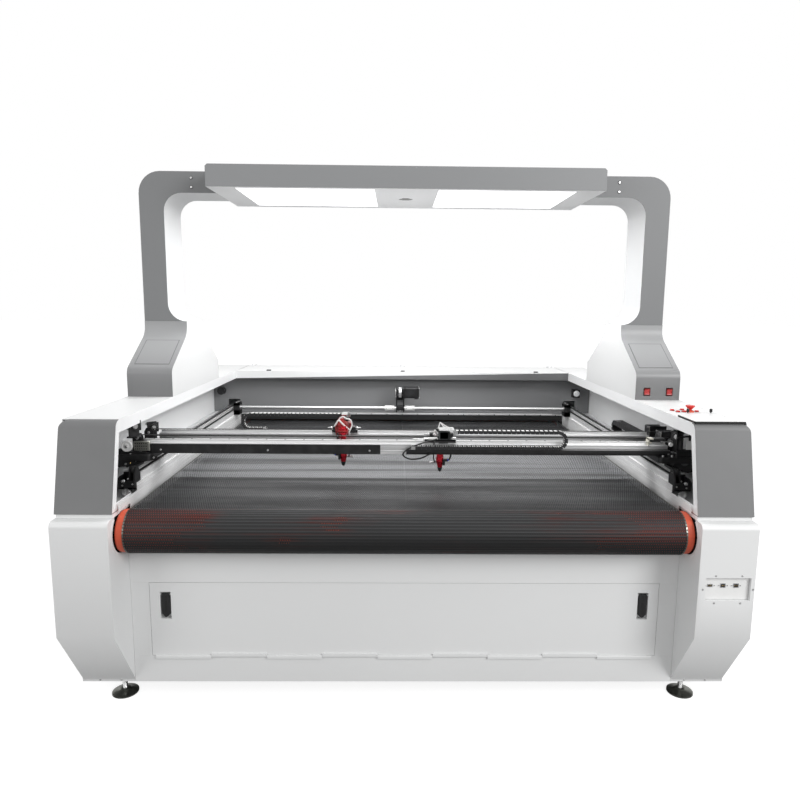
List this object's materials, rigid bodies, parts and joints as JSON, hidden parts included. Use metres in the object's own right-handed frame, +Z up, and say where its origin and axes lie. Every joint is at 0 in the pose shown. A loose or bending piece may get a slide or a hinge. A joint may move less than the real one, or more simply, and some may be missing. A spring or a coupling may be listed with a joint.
{
  "type": "fabric laser cutting machine",
  "caption": "Conveyor laser cutting machine with a belt bed, a two-head gantry between side housings, and an arch with a lit camera box over the bed.",
  "frame": {"origin": "on the floor under the middle of the machine", "axes": "+X to the right seen from the front, +Y towards the back, +Z up"},
  "size_m": [2.08, 1.88, 1.785],
  "materials": {
    "white_paint": "satin",
    "grey_plastic": "matte",
    "grey_paint": "satin",
    "lit_panel": "lit from behind",
    "black_plastic": "matte",
    "frame_paint": "matte",
    "belt_mesh": "woven wire mesh",
    "orange_rubber": "satin",
    "steel": "zinc plated",
    "aluminium": "anodised",
    "toothed_rubber": "matte",
    "black_metal": "black anodised",
    "red_anodised": "red anodised",
    "control_plate": "satin",
    "red_plastic": "gloss",
    "tube_glass": "clear"
  },
  "bodies": {
    "machine": {"base_frame": "frame_paint", "pod_left": "white_paint", "pod_right": "white_paint", "front_panel": "white_paint", "housing_left": "white_paint", "housing_right": "white_paint", "grey_covers": "grey_plastic", "rear_cover": "white_paint", "rear_partition": "grey_paint", "pedestals": "white_paint", "arch": "grey_paint", "light_box": "grey_paint", "light_panels": "lit_panel", "camera": "black_plastic", "belt_bed": "frame_paint", "side_guards": "white_paint", "mesh_belt": "belt_mesh", "roller_bearings": "steel", "side_beams": "aluminium", "y_belts": "toothed_rubber", "pulley_brackets": "steel", "drive_motors": "black_metal", "control_panel": "control_plate", "interface_panel": "control_plate", "levelling_feet": "steel", "laser_tubes": "tube_glass", "power_box": "grey_paint", "exhaust_duct": "steel", "fasteners": "steel", "gantry_chain": "black_plastic"},
    "gantry": {"gantry_front_beam": "aluminium", "gantry_rear_beam": "aluminium", "gantry_end_plates": "black_metal", "x_motors": "black_metal", "x_belts": "toothed_rubber", "gantry_brackets": "black_metal", "left_head_chain": "black_plastic", "right_head_chain": "black_plastic"},
    "left_head": {"left_head_carriage": "red_anodised", "left_head_nozzle": "red_anodised"},
    "right_head": {"right_head_carriage": "black_metal", "right_head_nozzle": "red_anodised"},
    "drive_shaft": {"drive_shaft": "steel"},
    "left_y_idler": {"left_y_idler": "aluminium"},
    "right_y_idler": {"right_y_idler": "aluminium"},
    "rear_x_pulley": {"rear_x_pulley": "aluminium"},
    "front_x_pulley": {"front_x_pulley": "aluminium"},
    "rear_x_idler": {"rear_x_idler": "aluminium"},
    "front_x_idler": {"front_x_idler": "aluminium"},
    "front_roller": {"front_roller": "orange_rubber"},
    "rear_roller": {"rear_roller": "orange_rubber"},
    "front_door": {"front_door": "white_paint"},
    "left_latch": {"left_latch": "black_metal"},
    "right_latch": {"right_latch": "black_metal"},
    "emergency_stop": {"emergency_stop": "red_plastic"},
    "left_knob": {"left_knob": "black_plastic"},
    "right_knob": {"right_knob": "black_plastic"},
    "left_rocker": {"left_rocker": "red_plastic"},
    "right_rocker": {"right_rocker": "red_plastic"},
    "tube_lid": {"tube_lid": "white_paint"}
  },
  "joints": [
    {"name": "gantry_travel", "type": "slide", "parent": "machine", "child": "gantry", "axis": [0, 1, 0], "range_m": [0, 0.95], "deforming": ["gantry_chain"]},
    {"name": "left_head_travel", "type": "slide", "parent": "gantry", "child": "left_head", "axis": [1, 0, 0], "range_m": [-0.486, 0.06], "deforming": ["left_head_chain"]},
    {"name": "right_head_travel", "type": "slide", "parent": "gantry", "child": "right_head", "axis": [1, 0, 0], "range_m": [-0.075, 0.6], "deforming": ["right_head_chain"]},
    {"name": "drive_shaft_spin", "type": "hinge", "parent": "machine", "child": "drive_shaft", "pos_m": [0, 0.56, 0.752], "axis": [1, 0, 0], "range_deg": [-4540, 5]},
    {"name": "left_y_idler_spin", "type": "hinge", "parent": "machine", "child": "left_y_idler", "pos_m": [-0.871, -0.725, 0.752], "axis": [1, 0, 0], "range_deg": [-4540, 5]},
    {"name": "right_y_idler_spin", "type": "hinge", "parent": "machine", "child": "right_y_idler", "pos_m": [0.871, -0.725, 0.752], "axis": [1, 0, 0], "range_deg": [-4540, 5]},
    {"name": "rear_x_pulley_spin", "type": "hinge", "parent": "gantry", "child": "rear_x_pulley", "pos_m": [0.892, -0.5265, 0.836], "axis": [0, 1, 0], "range_deg": [-2330, 300]},
    {"name": "rear_x_idler_spin", "type": "hinge", "parent": "gantry", "child": "rear_x_idler", "pos_m": [-0.892, -0.5265, 0.836], "axis": [0, 1, 0], "range_deg": [-2330, 300]},
    {"name": "front_x_pulley_spin", "type": "hinge", "parent": "gantry", "child": "front_x_pulley", "pos_m": [0.892, -0.6295, 0.836], "axis": [0, 1, 0], "range_deg": [-370, 2880]},
    {"name": "front_x_idler_spin", "type": "hinge", "parent": "gantry", "child": "front_x_idler", "pos_m": [-0.892, -0.6295, 0.836], "axis": [0, 1, 0], "range_deg": [-370, 2880]},
    {"name": "front_roller_spin", "type": "hinge", "parent": "machine", "child": "front_roller", "pos_m": [0, -0.845, 0.594], "axis": [1, 0, 0], "continuous": true},
    {"name": "rear_roller_spin", "type": "hinge", "parent": "machine", "child": "rear_roller", "pos_m": [0, 0.848, 0.594], "axis": [1, 0, 0], "continuous": true},
    {"name": "front_door_hinge", "type": "hinge", "parent": "machine", "child": "front_door", "pos_m": [0, -0.807, 0.16], "axis": [1, 0, 0], "range_deg": [0, 90]},
    {"name": "left_latch_pivot", "type": "hinge", "parent": "front_door", "child": "left_latch", "pos_m": [-0.762, -0.8, 0.367], "axis": [-1, 0, 0], "range_deg": [0, 40]},
    {"name": "right_latch_pivot", "type": "hinge", "parent": "front_door", "child": "right_latch", "pos_m": [0.762, -0.8, 0.367], "axis": [-1, 0, 0], "range_deg": [0, 40]},
    {"name": "emergency_stop_push", "type": "slide", "parent": "machine", "child": "emergency_stop", "axis": [0, 0, -1], "range_m": [0, 0.004], "stiffness_N_per_m": 2000, "springref_m": -0.002},
    {"name": "left_knob_turn", "type": "hinge", "parent": "machine", "child": "left_knob", "pos_m": [0.936, -0.644, 0.94], "axis": [0, 0, 1], "range_deg": [0, 270]},
    {"name": "right_knob_turn", "type": "hinge", "parent": "machine", "child": "right_knob", "pos_m": [1.013, -0.644, 0.94], "axis": [0, 0, 1], "range_deg": [0, 270]},
    {"name": "left_rocker_tip", "type": "hinge", "parent": "machine", "child": "left_rocker", "pos_m": [0.913, -0.334, 0.965], "axis": [-1, 0, 0], "range_deg": [0, 12]},
    {"name": "right_rocker_tip", "type": "hinge", "parent": "machine", "child": "right_rocker", "pos_m": [1.006, -0.334, 0.965], "axis": [-1, 0, 0], "range_deg": [0, 12]},
    {"name": "tube_lid_hinge", "type": "hinge", "parent": "machine", "child": "tube_lid", "pos_m": [0, 0.932, 0.9383], "axis": [-1, 0, 0], "range_deg": [0, 80]}
  ],
  "couplings": [
    {"joint": "drive_shaft_spin", "follows": "gantry_travel", "rad_per_m": -83.333},
    {"joint": "left_y_idler_spin", "follows": "gantry_travel", "rad_per_m": -83.333},
    {"joint": "right_y_idler_spin", "follows": "gantry_travel", "rad_per_m": -83.333},
    {"joint": "rear_x_pulley_spin", "follows": "left_head_travel", "rad_per_m": 83.333},
    {"joint": "rear_x_idler_spin", "follows": "left_head_travel", "rad_per_m": 83.333},
    {"joint": "front_x_pulley_spin", "follows": "right_head_travel", "rad_per_m": 83.333},
    {"joint": "front_x_idler_spin", "follows": "right_head_travel", "rad_per_m": 83.333},
    {"joint": "rear_roller_spin", "follows": "front_roller_spin", "ratio": 1}
  ]
}
